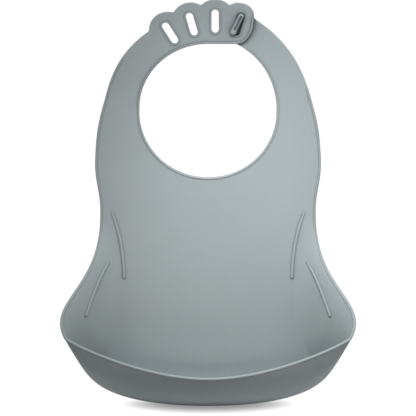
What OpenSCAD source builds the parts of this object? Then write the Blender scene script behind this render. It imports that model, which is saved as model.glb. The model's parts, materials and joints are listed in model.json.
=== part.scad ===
// Silicone bib: a flat chest panel with a two-strap neck closure and a scoop pocket.
// Frame: X across the bib, Z up, the wearer's side faces +Y and the pocket opens towards -Y.
// The origin is the centre of the neck opening, in the plane of the bib's back.

/* [Silicone] */
// Thickness of the sheet
sheet_t = 1.8; // [1.4:0.1:2]
// Thickness of the bead along a flat free edge, flush with the back
bead_t = 2.2; // [2:0.1:2.8]
// Width of the bead along a flat free edge
bead_w = 2.2; // [1.6:0.1:2.6]

/* [Neck opening] */
// Radius of the two half circles of the neck opening
neck_r = 52.8; // [51:0.1:54]
// Straight length between the two half circles
neck_straight = 3; // [1:0.5:5]
// Outer radius of the two straps
strap_r = 79; // [78:0.1:80]

/* [Chest panel] */
// Half width at the widest part of the chest
chest_half = 87.2; // [86:0.1:89]
// Depth of the widest part below the neck's centre
chest_drop = 44; // [40:1:48]
// Half width at the waist
waist_half = 83.2; // [82:0.1:85]
// Height of the straps' flex lines above the neck's centre
strap_flex_z = 14; // [12:0.5:16]
// Depth of the chest fold line below the neck's centre
fold_drop = 82; // [80:0.5:82]

/* [Pocket] */
// Half width between the wing corners
corner_half = 109.8; // [108:0.2:112]
// Depth of the wing corners below the neck's centre
corner_drop = 171; // [168:0.5:174]
// How far the wing corners stand in front of the panel
corner_reach = 44; // [40:0.5:48]
// Depth of the rim's middle below the neck's centre
rim_drop = 197; // [193:0.5:201]
// How far the rim's middle stands in front of the panel
rim_reach = 66; // [60:0.5:72]
// Radius of the round bead along the pocket's rim and the wings
rim_bead_r = 1.4; // [1.2:0.1:1.8]

/* [Fastening] */
// Number of size slots in the scalloped strap
slot_count = 4; // [4:1:4]
// Width of a slot
slot_w = 5.6; // [5:0.1:6]
// Distance between the centres of a slot's round ends
slot_l = 13.4; // [12:0.1:14]
// Angle between one slot and the next
slot_step = 15.6; // [15:0.1:16]
// Distance from the fan's centre to the middle of a slot
slot_radius = 66.9; // [66:0.1:68]
// Radius of the scallop around a slot
lobe_r = 14.3; // [14:0.1:15]
// How far a scallop's centre lies beyond its slot's middle
lobe_lift = 3.5; // [3:0.1:4]
// How far a slot's raised border stands proud of the strap
slot_rim_rise = 0.4; // [0.2:0.1:0.6]
// Length of the toggle's head
head_l = 19; // [18:0.5:20]
// Width of the toggle's head
head_w = 4.6; // [4:0.1:5]
// Forward lean of the scalloped strap, which lifts it over the other strap
strap_lean = 3.1; // [3:0.1:4]

/* [Ribs] */
// Radius of the raised ribs on the panel and the wings
rib_r = 1.35; // [1:0.05:1.6]

/* [Hidden] */

$fn = 96;
far = 400;                 // longer than the bib
mid = -sheet_t / 2;        // middle of the flat sheet
gap = 0.2;                 // clearance at each flex line
fold_z = -fold_drop;
wing_z = fold_z - 3;       // where the wings start, just below the fold
silicone = [0.64, 0.69, 0.68];
silicone_dark = [0.56, 0.61, 0.60];
wall_along = 14;           // steps along one patch of the pocket wall
wall_across = 10;          // steps from the crease to the rim
wing_speed = 0.12;         // how quickly the pocket's curves turn at the wing corner
rib_start = 0.6;           // a rib's radius at its top, as a share of its full radius
rib_growth = 1.6;          // how quickly it grows from there

// ---- curves ----

function bezier(p, t) =
    pow(1 - t, 3) * p[0] + 3 * pow(1 - t, 2) * t * p[1]
    + 3 * (1 - t) * t * t * p[2] + t * t * t * p[3];

function curve(p, steps) = [for (i = [0:steps]) bezier(p, i / steps)];

function reversed(list) = [for (i = [len(list) - 1:-1:0]) list[i]];

function mirrored(list) = [for (p = list) [-p[0], p[1]]];

function unit(v) = v / norm(v);

// ---- flat outline, drawn as [x, z] ----

strap_root_x = sqrt(strap_r * strap_r - strap_flex_z * strap_flex_z);
shoulder = [
    [strap_root_x, strap_flex_z],
    [strap_root_x + 4.2, strap_flex_z - 23.6],
    [chest_half, 24 - chest_drop],
    [chest_half, -chest_drop]
];
waist = [
    [chest_half, -chest_drop],
    [chest_half, -chest_drop - 14],
    [waist_half, fold_z + 16],
    [waist_half, fold_z]
];
side = concat(curve(shoulder, 12), curve(waist, 10));
side_inner = [for (p = side) [p[0] - bead_w, p[1]]];

module plate(thickness) {
    rotate([90, 0, 0]) linear_extrude(thickness) children();
}

module neck_shape(r) {
    for (s = [-1, 1]) translate([0, s * neck_straight / 2]) circle(r);
    square([2 * r, neck_straight], center = true);
}

module above(z) {
    translate([-far, z]) square([2 * far, far]);
}

module below(z) {
    translate([-far, z - far]) square([2 * far, far]);
}

// The space above or below the fold's axis, with edges that meet in a V
module fold_side(up) {
    turn = up ? 45 : 225;
    tip = up ? gap / 4 : -gap / 4;
    translate([-far / 2, mid, fold_z + tip]) rotate([turn, 0, 0]) cube(far);
}

// ---- pocket wall: two Bezier patches a side, from the crease on the panel to the free rim ----

function past_corner(a, b) = b + wing_speed * (b - a);

function net_row(top, wing_a, wing_b, corner, front, middle) =
    [top, wing_a, wing_b, corner, past_corner(wing_b, corner), front, middle];

rim_start = waist_half - rim_bead_r;

// Where the wall leaves the panel
crease_row = net_row([-75, mid, wing_z], [-73, mid, -118], [-72, mid, -145],
                     [-72, mid, -178], [-45, mid, -211], [0, mid, -211]);
// How the wall's bottom runs on in the panel's plane, and then turns forward and up to the rim
back_row = net_row([-77.5, mid, wing_z], [-76, mid, -121], [-84, mid, -148],
                   [-93.4, mid, -212], [-74, mid, -241], [0, mid, -241]);
front_row = net_row([-79.8, mid, wing_z], [-79, mid, -129], [-105, -18, -150.8],
                    [-91.1, -32, -209.8], [-88.6, -43, -239.5], [0, -43, -239.5]);
rim_row = net_row([-rim_start, mid, wing_z], [-rim_start, mid, -145.3], [-125, -33.8, -144.5],
                  [-corner_half, -corner_reach, -corner_drop],
                  [-52, -rim_reach, -rim_drop], [0, -rim_reach, -rim_drop]);
wall_net = [crease_row, back_row, front_row, rim_row];

// A point along the whole left half: u runs 0 to 1 on the wing and 1 to 2 on the scoop
function row_point(row, u) =
    let (first = u < 1 ? 0 : 3, t = u < 1 ? u : u - 1)
    bezier([for (i = [0:3]) row[first + i]], t);

function wall_point(u, v) = bezier([for (row = wall_net) row_point(row, u)], v);

function wall_normal(u, v) =
    let (step = 0.002,
         low_u = u + step > 2 || (u < 1 && u + step >= 1) ? u - step : u,
         low_v = v + step > 1 ? v - step : v,
         along = wall_point(low_u + step, v) - wall_point(low_u, v),
         across = wall_point(u, low_v + step) - wall_point(u, low_v))
    unit(cross(across, along));

// Across the middle of the scoop the left half is mirrored to the right
function whole_point(u, v) =
    let (p = wall_point(u > 2 ? 4 - u : u, v)) u > 2 ? [-p[0], p[1], p[2]] : p;

function whole_normal(u, v) =
    let (n = wall_normal(u > 2 ? 4 - u : u, v)) u > 2 ? [-n[0], n[1], n[2]] : n;

// The sheet's two faces: at the crease they lie exactly in the panel's faces
function face_point(u, v, side) =
    v == 0 ? whole_point(u, 0) + [0, -side * sheet_t / 2, 0]
           : whole_point(u, v) + side * sheet_t / 2 * whole_normal(u, v);

// A closed sheet between u0 and u1; its front face holds the points with side = 1
module wall(u0, u1, along, flip = false) {
    columns = wall_across + 1;
    count = (along + 1) * columns;
    points = [
        for (side = [1, -1], i = [0:along], j = [0:wall_across])
            let (p = face_point(u0 + (u1 - u0) * i / along, j / wall_across, side))
            flip ? [-p[0], p[1], p[2]] : p
    ];
    function at(i, j, side) = (side > 0 ? 0 : count) + i * columns + j;
    function quad(a, b, c, d) = [[a, b, c], [a, c, d]];
    faces = [
        for (i = [0:along - 1], j = [0:wall_across - 1])
            each quad(at(i, j, 1), at(i + 1, j, 1), at(i + 1, j + 1, 1), at(i, j + 1, 1)),
        for (i = [0:along - 1], j = [0:wall_across - 1])
            each quad(at(i, j + 1, -1), at(i + 1, j + 1, -1), at(i + 1, j, -1), at(i, j, -1)),
        for (i = [0:along - 1], j = [0, wall_across])
            each j == 0
                ? quad(at(i, j, 1), at(i, j, -1), at(i + 1, j, -1), at(i + 1, j, 1))
                : quad(at(i, j, 1), at(i + 1, j, 1), at(i + 1, j, -1), at(i, j, -1)),
        for (j = [0:wall_across - 1], i = [0, along])
            each i == 0
                ? quad(at(i, j, 1), at(i, j + 1, 1), at(i, j + 1, -1), at(i, j, -1))
                : quad(at(i, j, 1), at(i, j, -1), at(i, j + 1, -1), at(i, j + 1, 1))
    ];
    polyhedron(points, flip ? [for (f = faces) [f[2], f[1], f[0]]] : faces, convexity = 8);
}

// A round bead along a path, with a radius for each of its points
module tube(path, radii, sides = 8) {
    last = len(path) - 1;
    function heading(i) = unit(path[min(i + 1, last)] - path[max(i - 1, 0)]);
    function ring(i) =
        let (d = heading(i),
             a = unit(cross(d, abs(d[2]) < 0.8 ? [0, 0, 1] : [0, 1, 0])),
             b = cross(d, a))
        [for (k = [0:sides - 1]) path[i] + radii[i] * (cos(360 * k / sides) * a
                                                       + sin(360 * k / sides) * b)];
    points = [for (i = [0:last]) each ring(i)];
    faces = [
        for (i = [0:last - 1], k = [0:sides - 1])
            let (n = (k + 1) % sides)
            each [[i * sides + k, i * sides + n, (i + 1) * sides + n],
                  [i * sides + k, (i + 1) * sides + n, (i + 1) * sides + k]],
        [for (k = [sides - 1:-1:0]) k],
        [for (k = [0:sides - 1]) last * sides + k]
    ];
    polyhedron(points, faces, convexity = 8);
}

module flipped(flip) {
    mirror([flip ? 1 : 0, 0, 0]) children();
}

// ---- the upper chest ----

module upper_chest_panel() {
    color(silicone) intersection() {
        plate(sheet_t) difference() {
            polygon(concat(side_inner, reversed(mirrored(side_inner))));
            neck_shape(neck_r + bead_w);
        }
        fold_side(true);
    }
}

module neck_bead() {
    color(silicone) plate(bead_t) intersection() {
        difference() {
            neck_shape(neck_r + bead_w);
            neck_shape(neck_r);
        }
        below(strap_flex_z);
    }
}

module side_bead(flip) {
    color(silicone) flipped(flip) intersection() {
        plate(bead_t) polygon(concat(side, reversed(side_inner)));
        fold_side(true);
    }
}

// ---- the lower chest and the pocket ----

module lower_chest_panel() {
    crease = [for (i = [0:2 * wall_along]) let (p = row_point(crease_row, i / wall_along))
              [p[0], p[2]]];
    crease_right = reversed(mirrored([for (i = [0:2 * wall_along - 1]) crease[i]]));
    color(silicone) intersection() {
        plate(sheet_t) union() {
            polygon(concat(crease, crease_right));
            translate([-waist_half, wing_z]) square([2 * waist_half, fold_z - wing_z]);
        }
        fold_side(false);
    }
}

module wing(flip) {
    color(silicone) wall(0, 1, wall_along, flip);
}

module pocket_scoop() {
    color(silicone_dark) wall(1, 3, 2 * wall_along);
}

// The bead's centre runs along the rim, and stays flush with the back of the flat panel
function rim_path(u0, u1, steps) = [
    for (i = [0:steps])
        let (p = whole_point(u0 + (u1 - u0) * i / steps, 1))
        [p[0], min(p[1], -rim_bead_r), p[2]]
];

module wing_bead(flip) {
    path = rim_path(0, 1, wall_along);
    color(silicone) flipped(flip) tube(path, [for (p = path) rim_bead_r]);
}

module pocket_rim_bead() {
    path = rim_path(1, 3, 3 * wall_along);
    color(silicone) tube(path, [for (p = path) rim_bead_r]);
}

// A rib fades in at its top and has a blunt lower end
function rib_radii(steps) =
    [for (i = [0:steps]) rib_r * min(1, rib_start + rib_growth * i / steps)];

module inner_rib(flip) {
    steps = 8;
    run = curve([[-73.4, -sheet_t, wing_z], [-68.6, -sheet_t, -98], [-65.2, -sheet_t, -115],
                 [-65, -sheet_t, -135.5]], steps);
    color(silicone) flipped(flip) tube(run, rib_radii(steps));
}

module outer_rib(flip) {
    steps = 10;
    run = [for (i = [0:steps]) let (t = i / steps, rest = 1 - t)
           face_point(0.378 + 0.332 * t, 0.64 - 0.32 * pow(rest, 3) - 0.11 * rest, 1)];
    color(silicone) flipped(flip) tube(run, rib_radii(steps));
}

// ---- the scalloped strap, drawn flat and then leaned forward over the other strap ----

fan_centre = [5.5, 6];
slot_angles = [for (i = [0:slot_count - 1]) 2 * slot_step - i * slot_step];
border_w = 1.9;            // width of a slot's raised border
tip_outer = [25, 77];      // centre of the strap's rounded outer corner
tip_outer_r = 10.5;
tip_inner = [14.9, 71.2];  // centre of the long curve below it
tip_inner_r = 20;
tip_left = 18;             // the tip's curves belong to the strap's right end only
neck_top = neck_r + neck_straight / 2;  // the neck edge runs on straight from its highest point
shoulder_bead_end = 143.7; // angle at which the shoulder's bead ends, before the first scallop
neck_bead_reach = 64;      // further out than any part of the neck edge
tip_bead_top = 74;         // height at which the tip's bead ends

module at_slot(angle) {
    translate(fan_centre) rotate(angle) translate([0, slot_radius]) children();
}

module slot_shape(grow = 0) {
    for (s = [-1, 1]) translate([0, s * slot_l / 2]) circle(slot_w / 2 + grow, $fn = 48);
    square([slot_w + 2 * grow, slot_l], center = true);
}

module strap_ring() {
    difference() {
        circle(strap_r);
        neck_shape(neck_r);
    }
}

// The strap ends along a line that leans to the right
module left_of_tip() {
    polygon([[0, 0], [tip_left, neck_top], [tip_outer[0], tip_outer[1]], [tip_outer[0], far],
             [-far, far], [-far, 0]]);
}

module tip() {
    hull() {
        translate(tip_outer) circle(tip_outer_r, $fn = 48);
        intersection() {
            translate(tip_inner) circle(tip_inner_r);
            translate([tip_left, neck_top]) square([tip_inner_r, tip_inner[1] - neck_top]);
        }
    }
}

module scalloped_outline() {
    difference() {
        union() {
            intersection() {
                union() {
                    strap_ring();
                    for (angle = slot_angles)
                        at_slot(angle) translate([0, lobe_lift]) circle(lobe_r);
                }
                left_of_tip();
            }
            tip();
        }
        translate([0, neck_top - far]) square(far);
    }
}

// Where the strap's edge has a bead: up the shoulder, along the neck and round the tip
module beaded_zone() {
    rotate(shoulder_bead_end) square(far);
    circle(neck_bead_reach);
    translate([tip_outer[0], neck_top]) square([far, tip_bead_top - neck_top]);
}

module scalloped_border() {
    intersection() {
        difference() {
            scalloped_outline();
            offset(delta = -bead_w) scalloped_outline();
        }
        beaded_zone();
        above(strap_flex_z + gap);
    }
}

module leaned() {
    translate([0, -bead_t, strap_flex_z]) rotate([strap_lean, 0, 0])
        translate([0, bead_t, -strap_flex_z]) children();
}

module scalloped_strap() {
    color(silicone) leaned() plate(sheet_t) difference() {
        intersection() {
            scalloped_outline();
            above(strap_flex_z + gap);
        }
        scalloped_border();
        for (angle = slot_angles) at_slot(angle) slot_shape(border_w);
    }
}

module scalloped_strap_bead() {
    color(silicone) leaned() plate(bead_t) scalloped_border();
}

module slot_borders() {
    color(silicone_dark) leaned() plate(sheet_t + slot_rim_rise)
        for (angle = slot_angles) at_slot(angle) difference() {
            slot_shape(border_w);
            slot_shape();
        }
}

// ---- the toggle strap, which lies flat behind the scalloped one ----

slot_angle = slot_angles[slot_count - 1];
toggle_at = fan_centre + slot_radius * [-sin(slot_angle), cos(slot_angle)];
toggle_outer_centre = [-17, -8];   // centre of the strap's outer edge
toggle_outer_r = norm([strap_root_x, strap_flex_z] - toggle_outer_centre);
toggle_inner_centre = [-4, 3.4];   // centre of the strap's neck edge
neck_root_x = sqrt(pow(neck_r, 2) - pow(strap_flex_z - neck_straight / 2, 2));
toggle_inner_r = norm([neck_root_x, strap_flex_z] - toggle_inner_centre);
toggle_bead_end = 62.5;    // angle at which the neck edge's bead ends, before the other strap
pad_r = 12;                // radius of the strap's round end, under the toggle
stem_l = 6;                // distance between the stem's round ends
stem_w = 3.4;
head_under = 6.2;          // from the bib's back to the underside of the toggle's head
head_shift = [-1.2, 0.6];  // the head's middle, from the stem's
head_turn = -25;           // lean of the head from upright
groove_l = 13.4;
groove_w = 1.3;
groove_depth = 1.5;
groove_shift = 1.5;        // the groove lies nearer the head's upper end

module toggle_inner_circle(grow = 0) {
    translate(toggle_inner_centre) circle(toggle_inner_r + grow);
}

// The strap ends along the slot that the toggle comes through
module toggle_outline() {
    intersection() {
        difference() {
            translate(toggle_outer_centre) circle(toggle_outer_r);
            toggle_inner_circle();
        }
        translate(toggle_at) rotate(slot_angle) translate([0, -far]) square([far, 2 * far]);
        above(strap_flex_z + gap);
    }
    translate(toggle_at) circle(pad_r);
}

module toggle_border() {
    intersection() {
        difference() {
            toggle_inner_circle(bead_w);
            toggle_inner_circle();
        }
        rotate(toggle_bead_end - 90) square(far);
        above(strap_flex_z + gap);
    }
}

module toggle_strap() {
    color(silicone) plate(sheet_t) difference() {
        toggle_outline();
        toggle_border();
    }
}

module toggle_strap_bead() {
    color(silicone) plate(bead_t) toggle_border();
}

module toggle_stem() {
    color(silicone_dark) translate([toggle_at[0], -sheet_t, toggle_at[1]])
        rotate([90, -slot_angle, 0]) linear_extrude(head_under - sheet_t) {
            for (s = [-1, 1]) translate([0, s * stem_l / 2]) circle(stem_w / 2, $fn = 48);
            square([stem_w, stem_l], center = true);
        }
}

// A slim half-round button with a groove along its front
module toggle_head() {
    reach = (head_l - head_w) / 2;
    at = toggle_at + head_shift;
    groove_reach = (groove_l - groove_w) / 2;
    color(silicone) translate([at[0], -head_under, at[1]])
        rotate([90, -head_turn, 0]) difference() {
            intersection() {
                union() {
                    rotate([90, 0, 0]) cylinder(h = 2 * reach, r = head_w / 2, center = true);
                    for (s = [-1, 1]) translate([0, s * reach, 0]) sphere(head_w / 2);
                }
                translate([-far / 2, -far / 2, 0]) cube(far);
            }
            translate([0, groove_shift, head_w / 2 - groove_depth]) linear_extrude(head_w) {
                for (s = [-1, 1])
                    translate([0, s * groove_reach]) circle(groove_w / 2, $fn = 32);
                square([groove_w, 2 * groove_reach], center = true);
            }
        }
}

upper_chest_panel();
neck_bead();
side_bead(true);  // left_side_bead
side_bead(false);  // right_side_bead
lower_chest_panel();
wing(false);  // left_wing
wing(true);  // right_wing
pocket_scoop();
wing_bead(false);  // left_wing_bead
wing_bead(true);  // right_wing_bead
pocket_rim_bead();
inner_rib(false);  // left_inner_rib
outer_rib(false);  // left_outer_rib
inner_rib(true);  // right_inner_rib
outer_rib(true);  // right_outer_rib
scalloped_strap();
scalloped_strap_bead();
slot_borders();
toggle_strap();
toggle_strap_bead();
toggle_stem();
toggle_head();
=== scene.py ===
import json
import math

import bmesh
import bpy
import numpy as np
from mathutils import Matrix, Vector
from mathutils.geometry import delaunay_2d_cdt


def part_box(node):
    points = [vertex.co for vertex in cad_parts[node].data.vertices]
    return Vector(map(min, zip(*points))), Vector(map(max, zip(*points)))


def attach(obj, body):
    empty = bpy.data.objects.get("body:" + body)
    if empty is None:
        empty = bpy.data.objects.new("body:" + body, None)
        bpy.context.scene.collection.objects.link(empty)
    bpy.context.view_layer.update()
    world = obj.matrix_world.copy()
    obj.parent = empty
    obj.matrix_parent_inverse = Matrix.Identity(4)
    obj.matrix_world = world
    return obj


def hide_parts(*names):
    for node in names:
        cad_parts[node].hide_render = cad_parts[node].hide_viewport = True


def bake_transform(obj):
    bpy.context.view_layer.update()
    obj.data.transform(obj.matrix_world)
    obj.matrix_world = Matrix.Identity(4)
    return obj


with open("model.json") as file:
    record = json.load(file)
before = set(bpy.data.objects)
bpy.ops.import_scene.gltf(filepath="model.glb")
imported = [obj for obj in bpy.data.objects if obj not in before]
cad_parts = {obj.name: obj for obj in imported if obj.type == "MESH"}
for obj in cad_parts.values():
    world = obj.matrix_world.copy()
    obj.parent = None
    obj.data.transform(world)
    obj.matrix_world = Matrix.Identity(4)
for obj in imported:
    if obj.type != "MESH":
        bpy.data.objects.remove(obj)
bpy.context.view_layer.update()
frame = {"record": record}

# The bib is one silicone moulding. Lengths here are in millimetres until a mesh is made.
# X runs across the bib, Y towards the wearer and Z up, from the centre of the neck opening.
MM = 0.001

# ---- driving values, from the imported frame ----

scene = bpy.context.scene
record = frame["record"]
joints = {joint["name"]: joint for joint in record["behaviour"]["joints"]}
mounts = {mount["name"]: mount for mount in record["mounts"]}


def corners(node):
    """A node's lowest and highest corners, in millimetres."""
    low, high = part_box(node)
    return np.array(low) / MM, np.array(high) / MM


SHEET = -corners("upper_chest_panel")[0][1]
BEAD = -corners("neck_bead")[0][1]
MID = -SHEET / 2
NECK_R = mounts["neck_opening"]["dims"]["r_mm"]
NECK_STRAIGHT = 3.0
NECK_TOP = NECK_R + NECK_STRAIGHT / 2
FLEX_Z = joints["scalloped_strap_flex"]["pos_m"][2] / MM
FOLD_Z = joints["chest_fold"]["pos_m"][2] / MM
STRAP_ROOT = corners("toggle_strap")[1][0]
STRAP_R = math.hypot(STRAP_ROOT, FLEX_Z)
WING_Z = corners("left_wing")[1][2]
WAIST = corners("lower_chest_panel")[1][0]
CHEST = corners("right_side_bead")[1][0]
RIM_R = 1.4
RIM_HALF = 1.2               # the rim bead looks a little slimmer than its round section
RIM_REACH = -corners("pocket_rim_bead")[0][1] - RIM_R
CUT_Z = FLEX_Z - 10          # where the straps' meshes begin, below their flex lines
FLOOR_Z = corners("pocket_scoop")[0][2]
EDGE_HALF = 1.1              # half the width of a flat edge's bead
EDGE_POWER = 2.3             # how square the bead's section is; 2 is an ellipse

# Where the soft sheet bends, on either side of each flex line
FOLD_BAND = 12
STRAP_BAND = 10


# ---- curves and small maths ----

def bezier(points, t):
    """Places on a cubic curve with four control points."""
    p = np.asarray(points, float)
    t = np.asarray(t, float)[..., None]
    return ((1 - t) ** 3 * p[0] + 3 * (1 - t) ** 2 * t * p[1]
            + 3 * (1 - t) * t * t * p[2] + t ** 3 * p[3])


def smooth(low, high, value):
    """An eased step from 0 at low to 1 at high; high may be below low."""
    t = np.clip((np.asarray(value, float) - low) / (high - low), 0, 1)
    return t * t * (3 - 2 * t)


def unit(v):
    return v / np.maximum(np.linalg.norm(v, axis=-1, keepdims=True), 1e-9)


def lift(outline, y):
    """Points [x, z] set at height y."""
    outline = np.asarray(outline, float)
    return np.stack([outline[:, 0], np.full(len(outline), float(y)), outline[:, 1]], axis=1)


def arc_length(path):
    """The distance run along a line at each of its points."""
    return np.concatenate([[0], np.cumsum(np.linalg.norm(np.diff(path, axis=0), axis=1))])


def resample(path, spacing):
    """The same line with evenly spaced points."""
    path = np.asarray(path, float)
    run = arc_length(path)
    count = max(2, int(round(run[-1] / spacing)) + 1)
    at = np.linspace(0, run[-1], count)
    return np.stack([np.interp(at, run, path[:, k]) for k in range(path.shape[1])], axis=1)


def tangents(path, closed=False):
    """The unit direction of a line at each of its points."""
    if closed:
        return unit(np.roll(path, -1, axis=0) - np.roll(path, 1, axis=0))
    return unit(np.gradient(path, axis=0))


# ---- the sheet's slight natural curve, shared by every piece ----

ELEVATION = math.radians(18)         # the camera's height above level
VIEW_SLOPE = math.tan(ELEVATION)
BOW, BOW_START, BOW_REACH = 5.0, 36, 50
WAVE = 0.16                          # how far the sheet strays from flat
SHOULDER_OUT, SHOULDER_Z = 1.4, -4   # how far the shoulders swell, and the height of the middle


def drape(points):
    """The chest bows back and out towards its sides, and the sheet is never quite flat.

    A point that goes back also sinks, so that it stays in its place in the front view.
    """
    p = np.array(points, float)
    across, z = np.abs(p[:, 0]), p[:, 2]
    side = np.clip(across - BOW_START, 0, None) / BOW_REACH
    on_chest = smooth(-160, -70, z)
    wave = (np.sin(p[:, 0] / 23 + 0.6) * np.sin(z / 31 + 0.9)
            + 0.6 * np.sin(p[:, 0] / 41 - z / 19 + 2.1))
    away_from_neck = smooth(0, -40, z) * smooth(-215, -150, z)
    back = BOW * side ** 2 * on_chest + WAVE * wave * away_from_neck
    at_shoulder = smooth(58, 78, across) * smooth(-36, SHOULDER_Z, z) * smooth(28, SHOULDER_Z, z)
    p[:, 0] += np.sign(p[:, 0]) * SHOULDER_OUT * at_shoulder
    p[:, 1] += back
    p[:, 2] = z - VIEW_SLOPE * back
    return p


LEAN = math.radians(3.1)     # how far the scalloped strap leans forward
LEAN_EASE = 8                # the lean sets in over this much to either side of the flex line


def lean(points):
    """Leans the scalloped strap forward over the other one, easing in at its flex line."""
    p = np.array(points, float)
    above = p[:, 2] - FLEX_Z
    eased = np.where(above > LEAN_EASE, above,
                     np.clip(above + LEAN_EASE, 0, None) ** 2 / (4 * LEAN_EASE))
    p[:, 1] -= math.tan(LEAN) * eased
    return p


# ---- materials ----

OCCLUSION_SAMPLES = 8
HOLLOW_SIZE, HOLLOW_POWER = 0.035, 2.0       # the reach of the painted hollow shade in metres, and how sharply it deepens
# Painted shade: the colours the silicone is darkened towards in the pocket's hollow, on undersides
# and in crevices
PAINTED_HOLLOW_SHADE = (0.16, 0.21, 0.22, 1.0)
PAINTED_UNDER_SHADE = (0.67, 0.67, 0.67, 1.0)
UNDER_START, UNDER_FULL = -0.15, -0.45       # the normal's Z at which painted underside shade starts and is full
PAINTED_CREVICE_SHADE = (0.01, 0.012, 0.012, 1.0)
WHITE = (1.0, 1.0, 1.0, 1.0)
GRAIN_DEPTH = 0.00012                        # in metres


def silicone(name, tone, lighter, roughness, grain, crevice_shade_reach=0.0, sink=1.0):
    """Matte moulded silicone: a faint cloudy tone, a fine blasted grain and a soft velvety sheen.

    It carries painted shade inside the pocket's hollow, where other surfaces are near, and on faces
    that turn downwards. Given a reach in metres for crevices, it also carries painted shade where
    another surface is nearer than that, the deeper with a larger sink.
    """
    material = bpy.data.materials.new(name)
    material.use_nodes = True
    nodes, links = material.node_tree.nodes, material.node_tree.links
    shader = nodes["Principled BSDF"]
    place = nodes.new("ShaderNodeTexCoord")

    def noise(scale, detail, rough=0.5):
        node = nodes.new("ShaderNodeTexNoise")
        node.inputs["Scale"].default_value = scale
        node.inputs["Detail"].default_value = detail
        node.inputs["Roughness"].default_value = rough
        links.new(place.outputs["Object"], node.inputs["Vector"])
        return node.outputs["Fac"]

    def remap(source, low, high, start=0.3, end=0.7):
        node = nodes.new("ShaderNodeMapRange")
        for socket, value in (("From Min", start), ("From Max", end),
                              ("To Min", low), ("To Max", high)):
            node.inputs[socket].default_value = value
        links.new(source, node.inputs["Value"])
        return node.outputs["Result"]

    def mixed(kind, factor, a, b):
        node = nodes.new("ShaderNodeMix")
        node.data_type = "RGBA"
        node.blend_type = kind
        for source, socket in ((factor, "Factor"), (a, "A"), (b, "B")):
            if isinstance(source, (tuple, float)):
                node.inputs[socket].default_value = source
            else:
                links.new(source, node.inputs[socket])
        return node.outputs["Result"]

    def openness(distance, power):
        near = nodes.new("ShaderNodeAmbientOcclusion")
        near.samples = OCCLUSION_SAMPLES
        near.inputs["Distance"].default_value = distance
        node = nodes.new("ShaderNodeMath")
        node.operation = "POWER"
        node.inputs[1].default_value = power
        links.new(near.outputs["AO"], node.inputs[0])
        return node.outputs[0]

    cloudy = mixed("MIX", remap(noise(14, 3), 0.0, 1.0), (*tone, 1.0), (*lighter, 1.0))
    speck = nodes.new("ShaderNodeCombineColor")
    shade = remap(noise(900, 2, 0.7), 0.975, 1.025)
    for channel in ("Red", "Green", "Blue"):
        links.new(shade, speck.inputs[channel])
    specked = mixed("MULTIPLY", 1.0, cloudy, speck.outputs["Color"])

    # painted shade in the hollow and on faces turned downwards
    hollow = mixed("MIX", openness(HOLLOW_SIZE, HOLLOW_POWER), PAINTED_HOLLOW_SHADE, WHITE)
    surface = nodes.new("ShaderNodeNewGeometry")
    facing = nodes.new("ShaderNodeSeparateXYZ")
    links.new(surface.outputs["Normal"], facing.inputs["Vector"])
    downward = remap(facing.outputs["Z"], 0.0, 1.0, UNDER_START, UNDER_FULL)
    colour = mixed("MULTIPLY", 1.0, specked, mixed("MIX", downward, hollow, PAINTED_UNDER_SHADE))
    # painted shade in crevices, where another surface is near
    if crevice_shade_reach:
        colour = mixed("MIX", openness(crevice_shade_reach, sink), PAINTED_CREVICE_SHADE, colour)
    links.new(colour, shader.inputs["Base Color"])

    links.new(remap(noise(60, 3), roughness - 0.05, roughness + 0.05), shader.inputs["Roughness"])
    shader.inputs["Specular IOR Level"].default_value = 0.35
    shader.inputs["Sheen Weight"].default_value = 0.12
    shader.inputs["Sheen Roughness"].default_value = 0.5

    relief = nodes.new("ShaderNodeBump")
    relief.inputs["Strength"].default_value = grain
    relief.inputs["Distance"].default_value = GRAIN_DEPTH
    links.new(noise(2600, 2, 0.6), relief.inputs["Height"])
    links.new(relief.outputs["Normal"], shader.inputs["Normal"])
    return material


SHEET_TONE = (0.335, 0.375, 0.382)
SHEET_LIGHT = (0.350, 0.390, 0.397)
# Painted shade: the beads are the same silicone as the sheet, coloured darker to hold down the
# light their rounded sides catch.
BEAD_TONE = (0.295, 0.333, 0.339)
BEAD_LIGHT = (0.308, 0.346, 0.352)
BLASTED = {"roughness": 0.58, "grain": 0.35}
POLISHED = {"roughness": 0.52, "grain": 0.25}
# Painted shade: the sheet and beads are darkened where other surfaces meet them, and the toggle
# strap's silicone is painted with a deep shadow round the toggle.
sheet_silicone = silicone("silicone_sheet", SHEET_TONE, SHEET_LIGHT, **BLASTED,
                          crevice_shade_reach=0.0016, sink=0.3)
bead_silicone = silicone("silicone_bead", BEAD_TONE, BEAD_LIGHT, **POLISHED,
                         crevice_shade_reach=0.0012, sink=0.5)
toggle_shadow_silicone = silicone("silicone_painted_shadow_under_toggle", SHEET_TONE, SHEET_LIGHT, **BLASTED,
                          crevice_shade_reach=0.004, sink=1.5)
toggle_silicone = silicone("silicone_toggle", SHEET_TONE, SHEET_LIGHT, **POLISHED)


# ---- making pieces ----

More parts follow.
